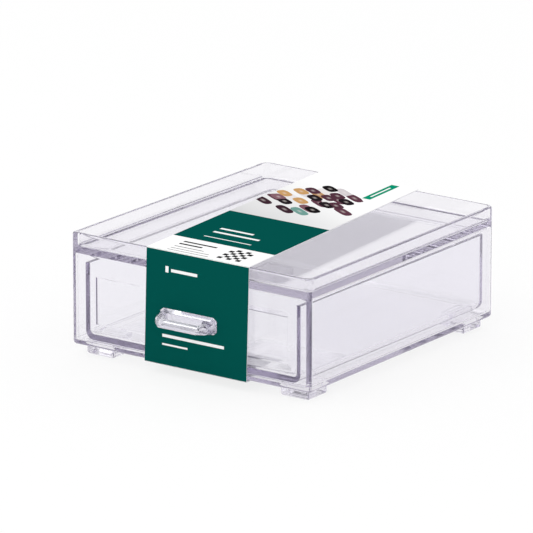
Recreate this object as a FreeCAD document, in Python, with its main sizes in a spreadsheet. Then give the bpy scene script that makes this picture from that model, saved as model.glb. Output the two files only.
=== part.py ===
"""A clear stackable drawer box: an open-fronted case with a raised stacking rim and four feet, a drawer
with a dished front, a gem-cut pull with a finger scoop, and the folded card sleeve that it is sold in.

Millimetres. X runs across the front, Y from the front to the back, Z up. The origin is on the ground under
the middle of the whole object, pull included.
"""

import os

import FreeCAD
import Part
import Sketcher

doc = FreeCAD.newDocument("drawer_box")

SIZES = (
    ("case_width", 188.0, "outside width of the case across its front"),
    ("case_depth", 210.0, "outside depth of the case"),
    ("body_height", 75.0, "height of the case from its underside to the top of the rim, without the feet"),
    ("side_draw", 1.8, "each side closes in by this much towards the back, as the mould needs"),
    ("case_wall", 2.8, "thickness of the side and back walls"),
    ("floor_thick", 3.4, "thickness of the case's floor"),
    ("panel_thick", 3.4, "thickness of the sunk top panel"),
    ("rim_rise", 9.9, "height of the stacking rim over the top panel"),
    ("rim_wall", 2.6, "thickness of the rim"),
    ("front_round", 3.0, "radius of the case's upright edges at the front"),
    ("back_round", 6.0, "radius of the case's upright edges at the back"),
    ("rim_round", 1.5, "radius round the rim's outer top edge"),
    ("rim_lip", 0.6, "radius round the rim's inner top edge"),
    ("rim_corner", 4.5, "radius of the recess's upright corners"),
    ("rim_foot", 3.0, "radius where the rim meets the top panel"),
    ("base_round", 2.5, "radius round the case's bottom edge"),
    ("cavity_round", 2.0, "radius of the inside edges of the case"),
    ("foot_height", 7.2, "height of the feet"),
    ("foot_width", 22.5, "width of a foot across the front"),
    ("foot_length", 21.5, "length of a foot from front to back"),
    ("foot_inset", 6.0, "feet stand this far in from the sides"),
    ("foot_setback", 7.0, "the front feet stand this far in from the front"),
    ("foot_back_gap", 5.5, "the back feet stand this far in from the back"),
    ("foot_corner", 2.2, "radius of the feet's upright edges"),
    ("foot_round", 2.0, "radius round the feet's bottom edge"),
    ("plate_recess", 1.5, "the drawer's front lies this far inside the case"),
    ("plate_thick", 2.8, "thickness of the drawer's front"),
    ("plate_gap", 0.5, "gap between the drawer's front and the case, sides and top"),
    ("plate_clear", 0.4, "gap between the drawer's front and the case's floor"),
    ("plate_round", 2.0, "radius of the front's four corners"),
    ("plate_edge", 1.0, "radius round the edge of the front's outer face"),
    ("dish_width", 157.2, "width of the shallow dish in the drawer's front"),
    ("dish_low", 8.5, "height of the dish's lower edge over the front's lower edge"),
    ("dish_high", 46.6, "height of the dish's upper edge over the front's lower edge"),
    ("dish_bevel", 3.8, "width of the dish's sloped border"),
    ("dish_shelf", 0.35, "depth of the dish at the inner edge of that border"),
    ("dish_step", 0.7, "width of the steeper step inside the border"),
    ("dish_depth", 1.0, "depth of the dish"),
    ("tray_width", 169.2, "outside width of the tray behind the front"),
    ("tray_draw", 0.2, "each side of the tray closes in by this much towards the back"),
    ("tray_back_gap", 0.5, "gap between the back of the tray and the back wall of the case"),
    ("tray_lift", 4.4, "height of the tray's underside over the case's underside"),
    ("tray_height", 51.3, "height of the tray from its underside to its top edge"),
    ("tray_wall", 3.0, "thickness of the tray's walls"),
    ("tray_floor", 3.0, "thickness of the tray's floor"),
    ("tray_corner", 3.2, "radius of the tray's upright corners at the back"),
    ("tray_corner_inner", 1.0, "radius of the same corners inside"),
    ("tray_edge", 6.0, "radius round the tray's bottom edge"),
    ("tray_inner", 3.6, "radius round the tray's inside bottom edge"),
    ("tray_lip", 0.8, "radius of the tray's two top edges"),
    ("plate_fillet", 1.0, "radius where the tray's walls meet the drawer's front"),
    ("skid_width", 3.0, "width of a skid under the tray"),
    ("skid_height", 0.6, "height of a skid"),
    ("skid_spread", 140.0, "distance between the two skids"),
    ("skid_length", 16.0, "length of a skid"),
    ("skid_inset", 9.0, "distance from the back of the tray to a skid"),
    ("pull_reach", 14.0, "how far the pull stands out of the case's front"),
    ("pull_shoulder", 8.5, "distance of the pull's shoulder out of the case's front"),
    ("pull_width", 44.6, "width of the pull where it meets the drawer"),
    ("pull_low", 26.0, "height of its lower side there, over the case's underside"),
    ("pull_high", 38.2, "height of its upper side there"),
    ("pull_cut", 2.9, "width of its cut corners there"),
    ("shoulder_width", 41.2, "width of the pull at its shoulder"),
    ("shoulder_cut", 1.7, "width of its cut corners at the shoulder"),
    ("face_width", 30.4, "width of the pull's small front face"),
    ("face_low", 28.4, "height of the front face's lower edge over the case's underside"),
    ("face_high", 31.3, "height of the front face's upper edge"),
    ("face_cut", 0.9, "width of the front face's cut corners"),
    ("cut_slope", 0.8, "height of any of the pull's cut corners over its width, the same all along"),
    ("scoop_width", 28.4, "width of the finger scoop in the pull"),
    ("scoop_near", 9.5, "front edge of the scoop, out from the case's front"),
    ("scoop_far", 4.3, "back edge of the scoop, out from the case's front"),
    ("scoop_low", 29.4, "height of the scoop's floor over the case's underside"),
    ("scoop_round", 0.9, "radius of the scoop's upright corners"),
    ("peg_width", 4.0, "diameter of the two pegs that hold the pull"),
    ("peg_length", 1.6, "length of a peg"),
    ("peg_spread", 24.0, "distance between the pegs"),
    ("card_thick", 0.5, "thickness of the card"),
    ("card_width", 80.3, "width of the sleeve's front and flap"),
    ("card_back_width", 77.5, "width of the sleeve's top at the back, where it narrows a little"),
    ("card_tuck", 40.0, "how far the sleeve's last flap reaches back under the case"),
    ("card_front_gap", 0.4, "gap between the sleeve and the case's front"),
    ("card_flat_gap", 0.3, "gap between the sleeve and the rim, and under the floor"),
    ("card_crease_shift", 7.4, "middle of the sleeve at the front crease, right of the case's middle"),
    ("card_back_shift", -7.3, "middle of the sleeve at the back edge of the top"),
    ("card_low_shift", 5.3, "middle of the sleeve at the foot of its front"),
    ("hole_gap", 0.4, "gap between the pull and the hole in the sleeve"),
)


def make_sheet():
    """The driving dimensions, one a row, with the words that say what each one is."""
    table = doc.addObject("Spreadsheet::Sheet", "sizes")
    for row, (alias, value, words) in enumerate(SIZES, start=1):
        table.set("A%d" % row, words)
        table.set("B%d" % row, str(value))
        table.setAlias("B%d" % row, alias)
    doc.recompute()
    return table


sheet = make_sheet()

# Places that several pieces share, written from the driving dimensions
FRONT = "((sizes.pull_reach - sizes.case_depth) / 2)"
BACK = "((sizes.pull_reach + sizes.case_depth) / 2)"
BASE = "sizes.foot_height"
RIM_TOP = "(sizes.foot_height + sizes.body_height)"
PANEL_TOP = "(%s - sizes.rim_rise)" % RIM_TOP
PANEL_LOW = "(%s - sizes.panel_thick)" % PANEL_TOP
FLOOR_TOP = "(sizes.foot_height + sizes.floor_thick)"
CAVITY_END = "(%s - sizes.case_wall)" % BACK
PLATE_FACE = "(%s + sizes.plate_recess)" % FRONT
PLATE_BACK = "(%s + sizes.plate_thick)" % PLATE_FACE
PLATE_LOW = "(%s + sizes.plate_clear)" % FLOOR_TOP
PLATE_HIGH = "(%s - sizes.plate_gap)" % PANEL_LOW
PLATE_HALF = "(sizes.case_width / 2 - sizes.case_wall - sizes.plate_gap)"
DISH_FACE = "(%s + sizes.dish_depth)" % PLATE_FACE
TRAY_LOW = "(sizes.foot_height + sizes.tray_lift)"
TRAY_HIGH = "(%s + sizes.tray_height)" % TRAY_LOW
TRAY_BACK = "(%s - sizes.tray_back_gap)" % CAVITY_END
PULL_MIDDLE = "(%s + (sizes.pull_low + sizes.pull_high) / 2)" % BASE
SCOOP_FLOOR = "(%s + sizes.scoop_low)" % BASE

TOUCH = 0.01


def number(expression):
    """The present value of an expression of the sheet's sizes."""
    return float(sheet.evalExpression(expression))


def new_body(label):
    body = doc.addObject("PartDesign::Body", label)
    body.Label = label
    return body


def add_sketch(body, name, role, lift="0"):
    """An empty sketch on one of the body's origin planes, lifted off it along its normal."""
    sketch = body.newObject("Sketcher::SketchObject", name)
    plane = next(item for item in body.Origin.OriginFeatures if item.Role == role)
    sketch.AttachmentSupport = (plane, "")
    sketch.MapMode = "FlatFace"
    sketch.setExpression("AttachmentOffset.Base.z", lift)
    doc.recompute()
    return sketch


def tie(sketch, geometry, vertex, across, up):
    """Holds one vertex of the sketch at two expressions, measured from the sketch's origin."""
    for kind, expression in (("DistanceX", across), ("DistanceY", up)):
        value = number(expression)
        index = sketch.addConstraint(Sketcher.Constraint(kind, -1, 1, geometry, vertex, value))
        sketch.setExpression("Constraints[%d]" % index, expression)


def draw_outline(sketch, corners):
    """A closed outline of straight lines through corners that are pairs of expressions."""
    points = [FreeCAD.Vector(number(across), number(up), 0) for across, up in corners]
    first = sketch.GeometryCount
    count = len(points)
    for index in range(count):
        sketch.addGeometry(Part.LineSegment(points[index], points[(index + 1) % count]), False)
    for index in range(count):
        joined = first + (index + 1) % count
        sketch.addConstraint(Sketcher.Constraint("Coincident", first + index, 2, joined, 1))
    for index, (across, up) in enumerate(corners):
        tie(sketch, first + index, 1, across, up)
    doc.recompute()


def draw_rectangle(sketch, left, right, low, high):
    draw_outline(sketch, [(left, low), (right, low), (right, high), (left, high)])


def draw_tapered(sketch, half, back_half, near, far):
    """A plan that is the same on both sides and closes in towards the back."""
    draw_outline(sketch, [("-" + half, near), (half, near), (back_half, far), ("-" + back_half, far)])


def draw_circle(sketch, across, up, diameter):
    centre = FreeCAD.Vector(number(across), number(up), 0)
    shape = Part.Circle(centre, FreeCAD.Vector(0, 0, 1), number(diameter) / 2)
    geometry = sketch.addGeometry(shape, False)
    tie(sketch, geometry, 3, across, up)
    width = sketch.addConstraint(Sketcher.Constraint("Diameter", geometry, number(diameter)))
    sketch.setExpression("Constraints[%d]" % width, diameter)
    doc.recompute()


def pad(body, name, sketch, length, backwards=False):
    """Raises a sketch into material, along its normal or against it."""
    feature = body.newObject("PartDesign::Pad", name)
    feature.Profile = sketch
    feature.Reversed = backwards
    feature.setExpression("Length", length)
    doc.recompute()
    return feature


def pocket(body, name, sketch, depth):
    """Cuts a sketch into the body and makes sure that material has gone."""
    before = body.Shape.Volume
    feature = body.newObject("PartDesign::Pocket", name)
    feature.Profile = sketch
    feature.setExpression("Length", depth)
    doc.recompute()
    if feature.Shape.Volume > before - TOUCH:
        raise RuntimeError("%s cuts nothing" % name)
    return feature


def loft(body, name, sketches, cut=False):
    """Joins sketches with straight-sided surfaces, as material or as a hollow."""
    kind = "PartDesign::SubtractiveLoft" if cut else "PartDesign::AdditiveLoft"
    before = body.Shape.Volume if cut else 0.0
    feature = body.newObject(kind, name)
    feature.Profile = sketches[0]
    feature.Sections = sketches[1:]
    feature.Ruled = True
    doc.recompute()
    if cut and feature.Shape.Volume > before - TOUCH:
        raise RuntimeError("%s cuts nothing" % name)
    return feature


def round_edges(body, name, radius, wanted):
    """Rounds every edge of the body for which the given test holds."""
    base = body.Tip
    names = []
    for index, edge in enumerate(base.Shape.Edges, start=1):
        if wanted(edge):
            names.append("Edge%d" % index)
    if not names:
        raise RuntimeError("%s finds no edge" % name)
    feature = body.newObject("PartDesign::Fillet", name)
    feature.Base = (base, names)
    feature.setExpression("Radius", radius)
    doc.recompute()
    return feature


def is_at(value, expression):
    return abs(value - number(expression)) < TOUCH


def is_level(edge, height):
    """True for an edge that lies flat at a height."""
    box = edge.BoundBox
    return box.ZLength < TOUCH and is_at(box.ZMin, height)


def is_upright(edge):
    box = edge.BoundBox
    return box.XLength < TOUCH and box.YLength < TOUCH and box.ZLength > TOUCH


def make_case():
    """The outer case: a drafted block, hollowed from the front, sunk on top and stood on four feet."""
    body = new_body("outer_case")
    half = "(sizes.case_width / 2)"
    back_half = "(sizes.case_width / 2 - sizes.side_draw)"

    plan = add_sketch(body, "case_plan", "XY_Plane", BASE)
    draw_tapered(plan, half, back_half, FRONT, BACK)
    pad(body, "case_block", plan, "sizes.body_height")

    recess = add_sketch(body, "recess_plan", "XY_Plane", RIM_TOP)
    inner = "(sizes.case_width / 2 - sizes.rim_wall)"
    inner_back = "(sizes.case_width / 2 - sizes.rim_wall - sizes.side_draw)"
    near = "(%s + sizes.rim_wall)" % FRONT
    far = "(%s - sizes.rim_wall)" % BACK
    draw_tapered(recess, inner, inner_back, near, far)
    pocket(body, "stacking_recess", recess, "sizes.rim_rise")

    def recess_corner(edge):
        return is_upright(edge) and is_at(edge.BoundBox.ZMin, PANEL_TOP)

    round_edges(body, "recess_corners", "sizes.rim_corner", recess_corner)
    round_edges(body, "recess_foot", "sizes.rim_foot", lambda edge: is_level(edge, PANEL_TOP))

    def recess_lip(edge):
        box = edge.BoundBox
        inside = box.YMin > number(near) - TOUCH and box.YMax < number(far) + TOUCH
        return is_level(edge, RIM_TOP) and inside

    def rim_edge(edge):
        return is_level(edge, RIM_TOP) and not recess_lip(edge)

    round_edges(body, "front_rounding", "sizes.front_round",
                lambda edge: is_upright(edge) and is_at(edge.BoundBox.YMin, FRONT))
    round_edges(body, "back_rounding", "sizes.back_round",
                lambda edge: is_upright(edge) and is_at(edge.BoundBox.YMin, BACK))
    round_edges(body, "rim_rounding", "sizes.rim_round", rim_edge)
    round_edges(body, "base_rounding", "sizes.base_round",
                lambda edge: is_level(edge, BASE))
    round_edges(body, "recess_lip", "sizes.rim_lip", recess_lip)

    cavity = add_sketch(body, "cavity_plan", "XY_Plane", PANEL_LOW)
    clear = "(sizes.case_width / 2 - sizes.case_wall)"
    clear_back = "(sizes.case_width / 2 - sizes.case_wall - sizes.side_draw)"
    draw_tapered(cavity, clear, clear_back, FRONT, CAVITY_END)
    pocket(body, "drawer_cavity", cavity, "%s - %s" % (PANEL_LOW, FLOOR_TOP))

    def cavity_edge(edge):
        box = edge.BoundBox
        within = box.ZMin > number(FLOOR_TOP) - TOUCH and box.ZMax < number(PANEL_LOW) + TOUCH
        return within and is_at(box.YMax, CAVITY_END)

    round_edges(body, "cavity_rounding", "sizes.cavity_round", cavity_edge)

    feet = add_sketch(body, "feet_plan", "XY_Plane")
    front_near = "(%s + sizes.foot_setback)" % FRONT
    back_far = "(%s - sizes.foot_back_gap)" % BACK
    front_outer = "(sizes.case_width / 2 - sizes.foot_inset)"
    back_outer = "(sizes.case_width / 2 - sizes.foot_inset - sizes.side_draw)"
    rows = (
        (front_outer, front_near, front_near + " + sizes.foot_length"),
        (back_outer, back_far + " - sizes.foot_length", back_far),
    )
    for outer, near, far in rows:
        inside = "(%s - sizes.foot_width)" % outer
        draw_rectangle(feet, inside, outer, near, far)
        draw_rectangle(feet, "-" + outer, "-" + inside, near, far)
    pad(body, "feet", feet, "sizes.foot_height")
    round_edges(body, "foot_corners", "sizes.foot_corner",
                lambda edge: is_upright(edge) and edge.BoundBox.ZMin < TOUCH)
    round_edges(body, "foot_rounding", "sizes.foot_round", lambda edge: is_level(edge, "0"))
    return body


def make_drawer():
    """The drawer: a rounded tray behind a front plate with a dished panel, on two small skids at the back."""
    body = new_body("drawer_tray")
    half = "(sizes.tray_width / 2)"
    back_half = "(sizes.tray_width / 2 - sizes.tray_draw)"

    plan = add_sketch(body, "tray_plan", "XY_Plane", TRAY_LOW)
    draw_tapered(plan, half, back_half, PLATE_FACE, TRAY_BACK)
    pad(body, "tray_block", plan, "sizes.tray_height")

    def under_edge(edge):
        return is_level(edge, TRAY_LOW) and edge.BoundBox.YMax > number(PLATE_FACE) + TOUCH

    round_edges(body, "tray_edges", "sizes.tray_edge", under_edge)
    round_edges(body, "tray_corners", "sizes.tray_corner",
                lambda edge: is_upright(edge) and is_at(edge.BoundBox.YMin, TRAY_BACK))

    hollow = add_sketch(body, "tray_inside", "XY_Plane", TRAY_HIGH)
    inner = "(sizes.tray_width / 2 - sizes.tray_wall)"
    inner_back = "(sizes.tray_width / 2 - sizes.tray_wall - sizes.tray_draw)"
    far = "(%s - sizes.tray_wall)" % TRAY_BACK
    draw_tapered(hollow, inner, inner_back, PLATE_BACK, far)
    pocket(body, "tray_hollow", hollow, "sizes.tray_height - sizes.tray_floor")
    floor = "(%s + sizes.tray_floor)" % TRAY_LOW

    def back_corner(edge):
        return is_upright(edge) and is_at(edge.BoundBox.YMin, far)

    def front_corner(edge):
        return is_upright(edge) and is_at(edge.BoundBox.YMin, PLATE_BACK) and is_at(edge.BoundBox.ZMin, floor)

    round_edges(body, "inside_corners", "sizes.tray_corner_inner", back_corner)
    round_edges(body, "plate_corners", "sizes.plate_fillet", front_corner)
    round_edges(body, "inside_edges", "sizes.tray_inner",
                lambda edge: is_level(edge, floor) and edge.BoundBox.YMin > number(PLATE_BACK) - TOUCH)
    round_edges(body, "tray_lips", "sizes.tray_lip", lambda edge: is_level(edge, TRAY_HIGH))

    plate = add_sketch(body, "plate_outline", "XZ_Plane", "-" + PLATE_FACE)
    draw_rectangle(plate, "-" + PLATE_HALF, PLATE_HALF, PLATE_LOW, PLATE_HIGH)
    pad(body, "front_plate", plate, "sizes.plate_thick", backwards=True)

    def plate_corner(edge):
        box = edge.BoundBox
        along = box.YLength > TOUCH and box.XLength < TOUCH and box.ZLength < TOUCH
        return along and is_at(abs(box.XMin), PLATE_HALF)

    def face_edge(edge):
        box = edge.BoundBox
        return box.YLength < TOUCH and is_at(box.YMin, PLATE_FACE)

    round_edges(body, "plate_rounding", "sizes.plate_round", plate_corner)
    round_edges(body, "plate_edges", "sizes.plate_edge", face_edge)

    rim = add_sketch(body, "dish_rim", "XZ_Plane", "-" + PLATE_FACE)
    wide = "(sizes.dish_width / 2)"
    low = "(%s + sizes.dish_low)" % PLATE_LOW
    high = "(%s + sizes.dish_high)" % PLATE_LOW
    draw_rectangle(rim, "-" + wide, wide, low, high)
    rings = [rim]
    stages = (
        ("dish_shelf", "sizes.dish_shelf", "(sizes.dish_bevel - sizes.dish_step)"),
        ("dish_bed", "sizes.dish_depth", "sizes.dish_bevel"),
    )
    for name, depth, inset in stages:
        ring = add_sketch(body, name, "XZ_Plane", "-(%s + %s)" % (PLATE_FACE, depth))
        narrow = "(%s - %s)" % (wide, inset)
        draw_rectangle(ring, "-" + narrow, narrow, "(%s + %s)" % (low, inset), "(%s - %s)" % (high, inset))
        rings.append(ring)
    loft(body, "dish", rings, cut=True)

    holes = add_sketch(body, "peg_holes", "XZ_Plane", "-" + DISH_FACE)
    for side in ("-", ""):
        draw_circle(holes, side + "(sizes.peg_spread / 2)", PULL_MIDDLE, "sizes.peg_width")
    pocket(body, "peg_seats", holes, "sizes.plate_thick")

    skids = add_sketch(body, "skid_plan", "XY_Plane", TRAY_LOW)
    finish = "(%s - sizes.skid_inset)" % TRAY_BACK
    start = "(%s - sizes.skid_length)" % finish
    for side in ("-", ""):
        centre = side + "(sizes.skid_spread / 2)"
        left = centre + " - sizes.skid_width / 2"
        right = centre + " + sizes.skid_width / 2"
        draw_rectangle(skids, left, right, start, finish)
    pad(body, "skids", skids, "sizes.skid_height", backwards=True)
    return body


def octagon(half, low, high, cut):
    """The corners of a rectangle about the middle, with its four corners cut off at the pull's slope."""
    inner = "(%s - %s)" % (half, cut)
    rise = "(%s * sizes.cut_slope)" % cut
    low_in = "(%s + %s)" % (low, rise)
    high_in = "(%s - %s)" % (high, rise)
    right = [(inner, low), (half, low_in), (half, high_in), (inner, high)]
    left = [("-" + across, up) for across, up in reversed(right)]
    return right + left


def between(first, second, share):
    """The expression that lies a share of the way from the first to the second."""
    return "(%s + (%s - %s) * %s)" % (first, second, first, share)


def pull_ring(share):
    """The pull's outline a share of the way from the drawer's front to the pull's shoulder."""
    to_shoulder = "(sizes.pull_shoulder + sizes.plate_recess + sizes.dish_depth)"
    to_face = "(sizes.pull_reach + sizes.plate_recess + sizes.dish_depth)"
    along = "(%s * %s / %s)" % (share, to_shoulder, to_face)
    half = between("sizes.pull_width / 2", "sizes.shoulder_width / 2", share)
    low = "(%s + %s)" % (BASE, between("sizes.pull_low", "sizes.face_low", along))
    high = "(%s + %s)" % (BASE, between("sizes.pull_high", "sizes.face_high", along))
    cut = between("sizes.pull_cut", "sizes.shoulder_cut", share)
    return half, low, high, cut


def make_pull():
    """The pull: eight-sided rings drawn in to a small face, like a cut stone, scooped out from above."""
    body = new_body("pull_handle")
    face_low = "(%s + sizes.face_low)" % BASE
    face_high = "(%s + sizes.face_high)" % BASE
    face = ("(sizes.face_width / 2)", face_low, face_high, "sizes.face_cut")
    rings = (
        (DISH_FACE, pull_ring("0")),
        ("(%s - sizes.pull_shoulder)" % FRONT, pull_ring("1")),
        ("(%s - sizes.pull_reach)" % FRONT, face),
    )
    sketches = []
    for index, (place, outline) in enumerate(rings, start=1):
        ring = add_sketch(body, "ring_%d" % index, "XZ_Plane", "-" + place)
        draw_outline(ring, octagon(*outline))
        sketches.append(ring)
    loft(body, "cut_stone", sketches)

    above = "(%s + sizes.pull_high)" % BASE
    scoop = add_sketch(body, "scoop_plan", "XY_Plane", above)
    wide = "(sizes.scoop_width / 2)"
    near = "(%s - sizes.scoop_near)" % FRONT
    far = "(%s - sizes.scoop_far)" % FRONT
    draw_rectangle(scoop, "-" + wide, wide, near, far)
    pocket(body, "finger_scoop", scoop, "%s - %s" % (above, SCOOP_FLOOR))

    def scoop_corner(edge):
        return is_upright(edge) and is_at(edge.BoundBox.ZMin, SCOOP_FLOOR)

    round_edges(body, "scoop_corners", "sizes.scoop_round", scoop_corner)

    pegs = add_sketch(body, "pegs_plan", "XZ_Plane", "-" + DISH_FACE)
    for side in ("-", ""):
        draw_circle(pegs, side + "(sizes.peg_spread / 2)", PULL_MIDDLE, "sizes.peg_width")
    pad(body, "pegs", pegs, "sizes.peg_length", backwards=True)
    return body


def make_sleeve():
    """The card sleeve: one folded strip over the top, down the front and tucked under, open behind."""
    body = new_body("card_sleeve")
    outer = "(%s - sizes.card_front_gap - sizes.card_thick)" % FRONT
    high = "(%s + sizes.card_flat_gap + sizes.card_thick)" % RIM_TOP
    low = "(%s - sizes.card_flat_gap - sizes.card_thick)" % BASE

    def sides(shift, width):
        return "(%s - %s / 2)" % (shift, width), "(%s + %s / 2)" % (shift, width)

    crease_left, crease_right = sides("sizes.card_crease_shift", "sizes.card_width")
    back_left, back_right = sides("sizes.card_back_shift", "sizes.card_back_width")
    low_left, low_right = sides("sizes.card_low_shift", "sizes.card_width")

    top = add_sketch(body, "top_leaf", "XY_Plane", high + " - sizes.card_thick")
    draw_outline(top, [(crease_left, outer), (crease_right, outer), (back_right, BACK), (back_left, BACK)])
    pad(body, "top_card", top, "sizes.card_thick")

    front = add_sketch(body, "front_leaf", "XZ_Plane", "-" + outer)
    draw_outline(front, [(low_left, low), (low_right, low), (crease_right, high), (crease_left, high)])
    pad(body, "front_card", front, "sizes.card_thick", backwards=True)

    under = add_sketch(body, "under_leaf", "XY_Plane", low)
    draw_rectangle(under, low_left, low_right, outer, "(%s + sizes.card_tuck)" % outer)
    pad(body, "under_card", under, "sizes.card_thick")

    hole = add_sketch(body, "pull_hole", "XZ_Plane", "-" + outer)
    to_card = "(sizes.plate_recess + sizes.dish_depth + sizes.card_front_gap)"
    to_shoulder = "(sizes.pull_shoulder + sizes.plate_recess + sizes.dish_depth)"
    half_pull, pull_low, pull_high, cut = pull_ring("(%s / %s)" % (to_card, to_shoulder))
    wide = "(%s + sizes.hole_gap)" % half_pull
    hole_low = "(%s - sizes.hole_gap)" % pull_low
    hole_high = "(%s + sizes.hole_gap)" % pull_high
    draw_outline(hole, octagon(wide, hole_low, hole_high, cut))
    pocket(body, "pull_opening", hole, "sizes.card_thick")

    def fold(edge):
        box = edge.BoundBox
        across = box.YLength < TOUCH and box.ZLength < TOUCH and box.XLength > number("sizes.card_width") / 2
        return across and is_at(box.YMin, outer)

    round_edges(body, "folds", "sizes.card_thick * 0.8", fold)
    return body


def check(bodies):
    """Stops if any object has failed, or a piece is empty, broken or not one solid."""
    for item in doc.Objects:
        if "Invalid" in item.State or "Error" in item.State:
            raise RuntimeError("%s has failed: %s" % (item.Label, item.State))
    for body in bodies:
        shape = body.Shape
        if shape.isNull() or not shape.isValid() or len(shape.Solids) != 1:
            raise RuntimeError("%s is not one sound solid" % body.Label)


def main():
    bodies = [make_case(), make_drawer(), make_pull(), make_sleeve()]
    doc.recompute()
    check(bodies)
    os.makedirs("parts", exist_ok=True)
    for body in bodies:
        body.Shape.exportStep(os.path.join("parts", body.Label + ".step"))
        box = body.Shape.BoundBox
        print("%-12s %7.1f cm3  x %.1f %.1f  y %.1f %.1f  z %.1f %.1f" % (
            body.Label, body.Shape.Volume / 1000, box.XMin, box.XMax, box.YMin, box.YMax, box.ZMin, box.ZMax))


main()
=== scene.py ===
"""Looks for a clear stackable drawer box in a printed card sleeve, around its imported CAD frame."""

import math

import bmesh
import bpy
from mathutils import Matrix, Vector

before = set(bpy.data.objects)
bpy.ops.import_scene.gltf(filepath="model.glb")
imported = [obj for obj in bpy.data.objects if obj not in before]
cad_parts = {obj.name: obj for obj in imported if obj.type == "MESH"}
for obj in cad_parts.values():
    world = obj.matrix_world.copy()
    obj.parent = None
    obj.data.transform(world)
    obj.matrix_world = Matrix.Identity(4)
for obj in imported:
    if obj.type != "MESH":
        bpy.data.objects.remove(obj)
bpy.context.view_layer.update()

MM = 0.001


# Camera, as the photograph was taken: a long lens from the right, a little above

VIEW_AZIMUTH = math.radians(35.797)
VIEW_ELEVATION = math.radians(16.353)
VIEW_DISTANCE = 4.5
VIEW_TARGET = Vector((-15.26, 7.0, 47.36)) * MM
VIEW_LENS = 469.6
VIEW_SENSOR = 36
NEAREST_SEEN = 0.1
FURTHEST_SEEN = 100


def make_camera():
    lens = bpy.data.cameras.new("studio_camera")
    lens.sensor_width = VIEW_SENSOR
    lens.lens = VIEW_LENS
    lens.clip_start = NEAREST_SEEN
    lens.clip_end = FURTHEST_SEEN
    camera = bpy.data.objects.new("studio_camera", lens)
    bpy.context.scene.collection.objects.link(camera)
    level = math.cos(VIEW_ELEVATION)
    rise = math.sin(VIEW_ELEVATION)
    back = Vector((math.sin(VIEW_AZIMUTH) * level, -math.cos(VIEW_AZIMUTH) * level, rise))
    camera.location = VIEW_TARGET + back * VIEW_DISTANCE
    camera.rotation_mode = "QUATERNION"
    camera.rotation_quaternion = (-back).to_track_quat("-Z", "Y")
    bpy.context.scene.camera = camera


# Shader helpers

def linear(hex_colour):
    """An sRGB hex colour such as "07524A" as the linear colour that a shader takes."""
    channels = [int(hex_colour[start:start + 2], 16) / 255 for start in (0, 2, 4)]
    bright = [c / 12.92 if c <= 0.04045 else ((c + 0.055) / 1.055) ** 2.4 for c in channels]
    return (*bright, 1.0)


def add(tree, kind, settings=None, **inputs):
    """Adds a node. settings are its own properties; inputs are values or sockets, _ for a space in a name."""
    node = tree.nodes.new(kind)
    for name, value in (settings or {}).items():
        setattr(node, name, value)
    for name, value in inputs.items():
        key = int(name[1:]) if name[0] == "i" and name[1:].isdigit() else name.replace("_", " ")
        socket = node.inputs[key]
        if isinstance(value, bpy.types.NodeSocket):
            tree.links.new(value, socket)
        else:
            socket.default_value = value
    return node


def new_material(name):
    material = bpy.data.materials.new(name)
    material.use_nodes = True
    material.node_tree.nodes.clear()
    return material, material.node_tree


def calc(tree, operation, first, second=0.0, third=0.0, clamp=False):
    """One sum or comparison of numbers, as a socket."""
    settings = {"operation": operation, "use_clamp": clamp}
    return add(tree, "ShaderNodeMath", settings, i0=first, i1=second, i2=third).outputs[0]


def noise(tree, place, size_mm, detail=2.0, roughness=0.5):
    """Cloudy pattern whose blotches are about size_mm across, as a socket."""
    return add(tree, "ShaderNodeTexNoise", Vector=place, Scale=1000.0 / size_mm, Detail=detail,
               Roughness=roughness).outputs["Fac"]


def patch(tree, u, v, left, right, low, high):
    """1 inside a rectangle of the print, in millimetres, and 0 outside, as a socket."""
    wide = calc(tree, "COMPARE", u, (left + right) / 2, (right - left) / 2)
    tall = calc(tree, "COMPARE", v, (low + high) / 2, (high - low) / 2)
    return calc(tree, "MULTIPLY", wide, tall)


def both(tree, first, second):
    return calc(tree, "MULTIPLY", first, second)


def either(tree, *masks):
    result = masks[0]
    for mask in masks[1:]:
        result = calc(tree, "MAXIMUM", result, mask)
    return result


def patches(tree, u, v, rules):
    return either(tree, *[patch(tree, u, v, *rule) for rule in rules])


def paint(tree, under, mask, over):
    """Lays one colour over another where the mask is 1, as a socket."""
    mix = add(tree, "ShaderNodeMix", {"data_type": "RGBA"}, Factor=mask)
    for index, colour in ((6, under), (7, over)):
        if isinstance(colour, bpy.types.NodeSocket):
            tree.links.new(colour, mix.inputs[index])
        else:
            mix.inputs[index].default_value = colour
    return mix.outputs[2]


# Clear moulded polystyrene

BEND_OF_POLYSTYRENE = 1.57
BEND_OF_A_JOINT = 1.001
TONER = "C0B8CE"
POLISH_BLOTCH = 9.0

# Where the pull is bonded to the drawer's front: the middle and half the size of a box, in millimetres
JOINT_MIDDLE = (0.0, -94.775, 39.3)
JOINT_REACH = (22.4, 0.825, 6.2)
AIR_FILM = 0.03


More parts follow.
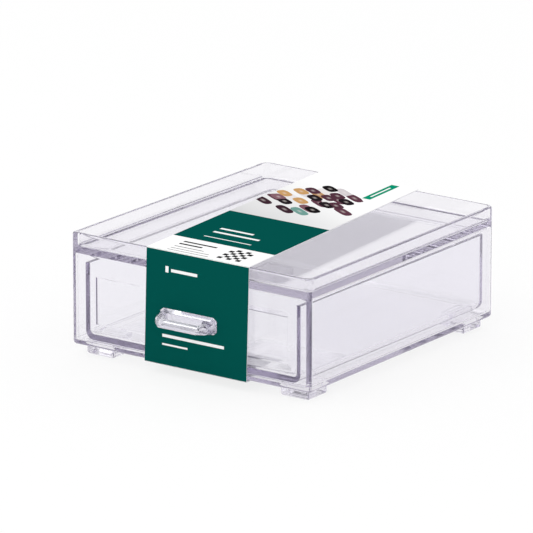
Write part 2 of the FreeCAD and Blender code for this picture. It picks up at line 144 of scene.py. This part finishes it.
def clear_polystyrene(name, skin, depth, wave_mm, wave_depth_mm, haze, bonded):
    """Crystal polystyrene, injection moulded in a polished tool: glass-clear, with a hard gloss, a breath of
    violet from its toner that gathers along a wall, and a slow ripple from the flow of the melt. Where
    solvent has bonded the pull to the drawer's front, the two surfaces bend no light. skin is the tint that
    each surface gives, depth how fast the toner gathers, and haze the roughest that the polish gets."""
    material, tree = new_material(name)
    place = add(tree, "ShaderNodeTexCoord").outputs["Object"]
    ripple = noise(tree, place, wave_mm, detail=1.0)
    bump = add(tree, "ShaderNodeBump", Strength=1.0, Distance=wave_depth_mm * MM, Height=ripple)
    shine = noise(tree, place, POLISH_BLOTCH, detail=3.0)
    rough = add(tree, "ShaderNodeMapRange", Value=shine, To_Min=0.0, To_Max=haze).outputs[0]
    shader = add(tree, "ShaderNodeBsdfPrincipled", Base_Color=linear(skin), Transmission_Weight=1.0,
                 IOR=BEND_OF_POLYSTYRENE, Roughness=rough, Normal=bump.outputs[0])
    if bonded:
        along = add(tree, "ShaderNodeSeparateXYZ", Vector=place).outputs
        x, y, z = [calc(tree, "COMPARE", value, middle * MM, reach * MM)
                   for value, middle, reach in zip(along, JOINT_MIDDLE, JOINT_REACH)]
        joint = both(tree, x, both(tree, y, z))
        change = BEND_OF_A_JOINT - BEND_OF_POLYSTYRENE
        bend = calc(tree, "MULTIPLY_ADD", joint, change, BEND_OF_POLYSTYRENE)
        tree.links.new(bend, shader.inputs["IOR"])
    lit = add(tree, "ShaderNodeBsdfTransparent", Color=linear("FAFAFC"))
    path = add(tree, "ShaderNodeLightPath")
    mixed = add(tree, "ShaderNodeMixShader", i0=path.outputs["Is Shadow Ray"], i1=shader.outputs[0],
                i2=lit.outputs[0])
    inside = add(tree, "ShaderNodeVolumeAbsorption", Color=linear(TONER), Density=depth)
    add(tree, "ShaderNodeOutputMaterial", Surface=mixed.outputs[0], Volume=inside.outputs[0])
    return material


# Printed card

# The sleeve's box, and how far its middle lies right of the case's at three places, in millimetres
CARD_FRONT = -98.9
CARD_BACK = 112.0
CARD_TOP = 83.0
CARD_LOW = 6.4
CREASE_SHIFT = 7.4
BACK_SHIFT = -7.3
LOW_SHIFT = 5.3
CARD_THICK = 0.5
SKIN_DEEP = 0.05

# The print, in millimetres. Each rule is left, right, low, high, from the sleeve's middle line, with the
# height on the front, and the depth from the case's middle on the top.
FRONT_RULES = (
    (-25.0, -22.6, 68.4, 72.6),
    (-20.6, 0.0, 69.2, 71.2),
    (-26.5, 22.0, 25.2, 27.2),
    (-26.5, -6.5, 19.8, 21.0),
)
STRIP_RULES = (
    (-26.0, 0.0, -77.0, -74.8),
    (-26.0, -8.0, -82.4, -80.2),
    (-26.0, -3.0, -87.6, -86.7),
    (-26.0, 4.0, -92.0, -91.3),
    (-26.0, 6.0, -96.0, -95.3),
)
TOP_RULES = (
    (-22.0, 4.0, -39.6, -36.9),
    (-22.0, 14.0, -48.0, -45.3),
    (-22.0, 15.0, -58.6, -57.4),
)
CHEQUER = (10.8, 28.8, -93.6, -72.0)
CHEQUER_SQUARE = 3.6
STRIP_END = -67.8
GREEN_END = -0.8
TAG = (18.3, 24.7, 73.0, 110.6)
TAG_RULE = (20.8, 22.2, 79.0, 104.0)

# The heap of beads: an upper and a lower layer, each with its middle, its reach and the size of a bead
LOWER_HEAP = ((-5.0, 49.0), 34.0, (25.0, 9.0))
UPPER_HEAP = ((-8.0, 53.0), 27.0, (19.0, 9.5))
LOWER_INKS = ("5E3A48", "D9D4D6", "3C2630", "E4E0E0", "B58B63", "7C5661", "CFC9CC", "6E9A92")
UPPER_INKS = ("221B20", "C69A66", "52323F", "1A1719", "84606A")
HEAP_SLANT = 0.55
BEAD_EDGE = 0.4
BEAD_SHINE_EDGE = 0.16


def beads(tree, plane, field, heap, reach, size, inks):
    """A heap of long beads on the print, loose at its edge. Every bead is whole and takes one of the inks."""
    turn = {"rotation_type": "Z_AXIS"}
    slant = add(tree, "ShaderNodeVectorRotate", turn, Vector=plane, Angle=HEAP_SLANT).outputs[0]
    middle = (heap[0] * math.cos(HEAP_SLANT) - heap[1] * math.sin(HEAP_SLANT),
              heap[0] * math.sin(HEAP_SLANT) + heap[1] * math.cos(HEAP_SLANT), 0.0)
    stretched = add(tree, "ShaderNodeVectorMath", {"operation": "MULTIPLY"}, i0=slant,
                    i1=(1 / size[0], 1 / size[1], 1.0)).outputs[0]
    cells = add(tree, "ShaderNodeTexVoronoi", {"voronoi_dimensions": "2D", "distance": "MINKOWSKI"},
                Vector=stretched, Scale=1.0, Exponent=3.0, Randomness=0.55)
    far = cells.outputs["Distance"]
    pick = add(tree, "ShaderNodeSeparateColor", Color=cells.outputs["Color"]).outputs[0]
    ramp = add(tree, "ShaderNodeValToRGB", Fac=pick)
    ramp.color_ramp.interpolation = "CONSTANT"
    stops = ramp.color_ramp.elements
    while len(stops) < len(inks):
        stops.new(0.5)
    for index, (stop, ink) in enumerate(zip(stops, inks)):
        stop.position = index / len(inks)
        stop.color = linear(ink)
    place = add(tree, "ShaderNodeVectorMath", {"operation": "MULTIPLY"}, i0=cells.outputs["Position"],
                i1=(size[0], size[1], 0.0)).outputs[0]
    off = add(tree, "ShaderNodeVectorMath", {"operation": "DISTANCE"}, i0=place, i1=middle).outputs["Value"]
    inside = both(tree, calc(tree, "LESS_THAN", far, BEAD_EDGE), calc(tree, "LESS_THAN", off, reach))
    sheen = both(tree, inside, add(tree, "ShaderNodeMapRange", Value=far, From_Min=BEAD_SHINE_EDGE,
                                   From_Max=0.0, To_Min=0.0, To_Max=0.45).outputs[0])
    return paint(tree, paint(tree, field, inside, ramp.outputs[0]), sheen, linear("EFE6E2"))


def printed_card(name):
    """Folding boxboard, offset printed under a dead-matt film: solid inks that stay as deep at a low angle as
    face on, a white fibrous back and cut edge, and ink that has cracked paler along the folds."""
    material, tree = new_material(name)
    place = add(tree, "ShaderNodeTexCoord").outputs["Object"]
    in_mm = add(tree, "ShaderNodeVectorMath", {"operation": "SCALE"}, Vector=place, Scale=1000.0).outputs[0]
    x, y, z = add(tree, "ShaderNodeSeparateXYZ", Vector=in_mm).outputs
    normal = add(tree, "ShaderNodeNewGeometry").outputs["Normal"]
    nx, ny, nz = add(tree, "ShaderNodeSeparateXYZ", Vector=normal).outputs

    # The sleeve sits a little askew, so the print is laid out from its own middle line
    lean = add(tree, "ShaderNodeMapRange", Value=y, From_Min=CARD_FRONT, From_Max=CARD_BACK,
               To_Min=CREASE_SHIFT, To_Max=BACK_SHIFT).outputs[0]
    tilt = add(tree, "ShaderNodeMapRange", Value=z, From_Min=CARD_LOW, From_Max=CARD_TOP,
               To_Min=LOW_SHIFT, To_Max=CREASE_SHIFT).outputs[0]
    u_top = calc(tree, "SUBTRACT", x, lean)
    u_front = calc(tree, "SUBTRACT", x, tilt)
    on_top = calc(tree, "GREATER_THAN", z, CARD_TOP - CARD_THICK - SKIN_DEEP)
    outward = calc(tree, "SUBTRACT", nz, ny)
    outer = calc(tree, "GREATER_THAN", outward, 0.9)
    low_leaf = calc(tree, "LESS_THAN", z, CARD_LOW + CARD_THICK + SKIN_DEEP)
    below = calc(tree, "LESS_THAN", nz, -0.5)
    hole_sill = both(tree, calc(tree, "GREATER_THAN", nz, 0.5), calc(tree, "LESS_THAN", z, CARD_TOP - 1))
    printed = either(tree, both(tree, outer, calc(tree, "SUBTRACT", 1.0, hole_sill)),
                     both(tree, low_leaf, below))

    deep_green, emerald = linear("04504A"), linear("06906E")
    white_ink, black_ink, paper = linear("F8F8F8"), linear("1E1E20"), linear("FAFAFA")

    # The front: solid green with two rules over the pull and two under it
    front = paint(tree, deep_green, patches(tree, u_front, z, FRONT_RULES), white_ink)

    # The top: a white strip with dark rules and a chequer, then green with three rules
    strip = paint(tree, paper, patches(tree, u_top, y, STRIP_RULES), black_ink)
    plane = add(tree, "ShaderNodeCombineXYZ", X=u_top, Y=y).outputs[0]
    chequer = add(tree, "ShaderNodeTexChecker", Vector=plane, Scale=1 / CHEQUER_SQUARE).outputs["Fac"]
    strip = paint(tree, strip, both(tree, chequer, patch(tree, u_top, y, *CHEQUER)), black_ink)
    green = paint(tree, deep_green, patches(tree, u_top, y, TOP_RULES), white_ink)

    # Behind the green, a soft grey field that brightens backwards, with a heap of beads and an emerald tag.
    # Its blotches are 50 mm across: plane counts in millimetres, where noise expects metres.
    shade = noise(tree, plane, 50.0 / MM, detail=1.0)
    rise = add(tree, "ShaderNodeMapRange", Value=calc(tree, "MULTIPLY_ADD", u_top, 0.55, y), From_Min=-25.0,
               From_Max=70.0).outputs[0]
    lit = calc(tree, "MULTIPLY_ADD", shade, 0.3, calc(tree, "SUBTRACT", rise, 0.15), clamp=True)
    field = paint(tree, linear("CFCFD0"), lit, paper)
    field = beads(tree, plane, field, *LOWER_HEAP, LOWER_INKS)
    field = beads(tree, plane, field, *UPPER_HEAP, UPPER_INKS)
    field = paint(tree, field, patch(tree, u_top, y, *TAG), emerald)
    field = paint(tree, field, patch(tree, u_top, y, *TAG_RULE), paper)
    top = paint(tree, strip, calc(tree, "GREATER_THAN", y, STRIP_END), green)
    top = paint(tree, top, calc(tree, "GREATER_THAN", y, GREEN_END), field)
    inked = paint(tree, front, on_top, top)

    # Fibre of the bare board, and ink that has cracked paler along the folds
    fibre = noise(tree, place, 0.6, detail=4.0, roughness=0.7)
    board = add(tree, "ShaderNodeMapRange", Value=fibre, To_Min=0.0, To_Max=0.5).outputs[0]
    bare = paint(tree, linear("FBFAFE"), board, linear("ECEAF2"))
    crease = calc(tree, "GREATER_THAN", outward, 1.12)
    cracked = both(tree, crease, add(tree, "ShaderNodeMapRange", Value=noise(tree, place, 1.1, detail=3.0),
                                     From_Min=0.35, From_Max=0.7, To_Min=0.1, To_Max=0.8).outputs[0])
    inked = paint(tree, inked, cracked, linear("9DB8B2"))
    colour = paint(tree, bare, printed, inked)
    bump = add(tree, "ShaderNodeBump", Strength=0.2, Distance=0.02 * MM, Height=fibre)
    shader = add(tree, "ShaderNodeBsdfPrincipled", Base_Color=colour, Roughness=0.9, IOR=1.5,
                 Specular_IOR_Level=0.0, Normal=bump.outputs[0])
    add(tree, "ShaderNodeOutputMaterial", Surface=shader.outputs[0])
    return material


# Studio

FLOOR_RADIUS = 12.0
FLOOR_DROP = 0.0005
FLOOR_GLOW = 0.82


def make_stage():
    material, tree = new_material("white_sweep")
    path = add(tree, "ShaderNodeLightPath").outputs
    seen = either(tree, path["Is Camera Ray"], path["Is Transmission Ray"], path["Is Glossy Ray"])
    paper = add(tree, "ShaderNodeBsdfDiffuse", Color=(0.94, 0.94, 0.94, 1))
    glow = add(tree, "ShaderNodeEmission", Color=(1, 1, 1, 1), Strength=1.0)
    mixed = add(tree, "ShaderNodeMixShader", i0=calc(tree, "MULTIPLY", seen, FLOOR_GLOW), i1=paper.outputs[0],
                i2=glow.outputs[0])
    add(tree, "ShaderNodeOutputMaterial", Surface=mixed.outputs[0])
    mesh = bpy.data.meshes.new("floor")
    form = bmesh.new()
    bmesh.ops.create_circle(form, cap_ends=True, segments=64, radius=FLOOR_RADIUS)
    form.to_mesh(mesh)
    form.free()
    floor = bpy.data.objects.new("floor", mesh)
    floor.location.z = -FLOOR_DROP
    mesh.materials.append(material)
    bpy.context.scene.collection.objects.link(floor)


def make_lights():
    world = bpy.data.worlds.new("studio")
    bpy.context.scene.world = world
    world.use_nodes = True
    tree = world.node_tree
    tree.nodes.clear()
    path = add(tree, "ShaderNodeLightPath").outputs
    way = add(tree, "ShaderNodeTexCoord").outputs["Generated"]
    up = add(tree, "ShaderNodeSeparateXYZ", Vector=way).outputs[2]
    dome = add(tree, "ShaderNodeMapRange", Value=up, From_Min=0.05, From_Max=0.75, To_Min=0.92,
               To_Max=1.0).outputs[0]
    level = add(tree, "ShaderNodeMix", {"data_type": "FLOAT"}, Factor=path["Is Camera Ray"])
    tree.links.new(dome, level.inputs[2])
    level.inputs[3].default_value = 1.0
    back = add(tree, "ShaderNodeBackground", Color=(1, 1, 1, 1), Strength=level.outputs[0])
    add(tree, "ShaderNodeOutputWorld", Surface=back.outputs[0])
    add_lamp("key", (-1.2, -1.0, 1.6), 1.2, 5)
    add_lamp("fill", (1.8, -0.9, 1.1), 1.4, 3)


def add_lamp(name, place, side, watts):
    lamp = bpy.data.lights.new(name, "AREA")
    lamp.size = side
    lamp.energy = watts
    holder = bpy.data.objects.new(name, lamp)
    holder.location = place
    holder.rotation_mode = "QUATERNION"
    holder.rotation_quaternion = (-Vector(place)).to_track_quat("-Z", "Y")
    bpy.context.scene.collection.objects.link(holder)


def dress(node, material):
    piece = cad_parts[node]
    for held in piece.material_slots:
        held.material = material


make_camera()
make_stage()
make_lights()
case = clear_polystyrene("case_polystyrene", skin="F9F8FB", depth=7.0, wave_mm=60.0, wave_depth_mm=0.02,
                         haze=0.03, bonded=False)
drawer = clear_polystyrene("drawer_polystyrene", skin="FEFEFF", depth=9.5, wave_mm=50.0, wave_depth_mm=0.02,
                           haze=0.03, bonded=True)
pull = clear_polystyrene("pull_polystyrene", skin="FCFCFE", depth=9.5, wave_mm=12.0, wave_depth_mm=0.005,
                         haze=0.3, bonded=True)
dress("outer_case", case)
dress("drawer_tray", drawer)
dress("pull_handle", pull)
dress("card_sleeve", printed_card("printed_boxboard"))

# Faces of the pull and the drawer that lie exactly on each other would show black
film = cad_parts["pull_handle"].modifiers.new("air_film", "DISPLACE")
film.strength = -AIR_FILM * MM
film.mid_level = 0.0

# Light has to get out again through many clear walls
CLEAR_BOUNCES = 128
scene = bpy.context.scene
scene.view_settings.view_transform = "Standard"
scene.cycles.max_bounces = CLEAR_BOUNCES
scene.cycles.transmission_bounces = CLEAR_BOUNCES
scene.cycles.glossy_bounces = CLEAR_BOUNCES
scene.cycles.transparent_max_bounces = CLEAR_BOUNCES
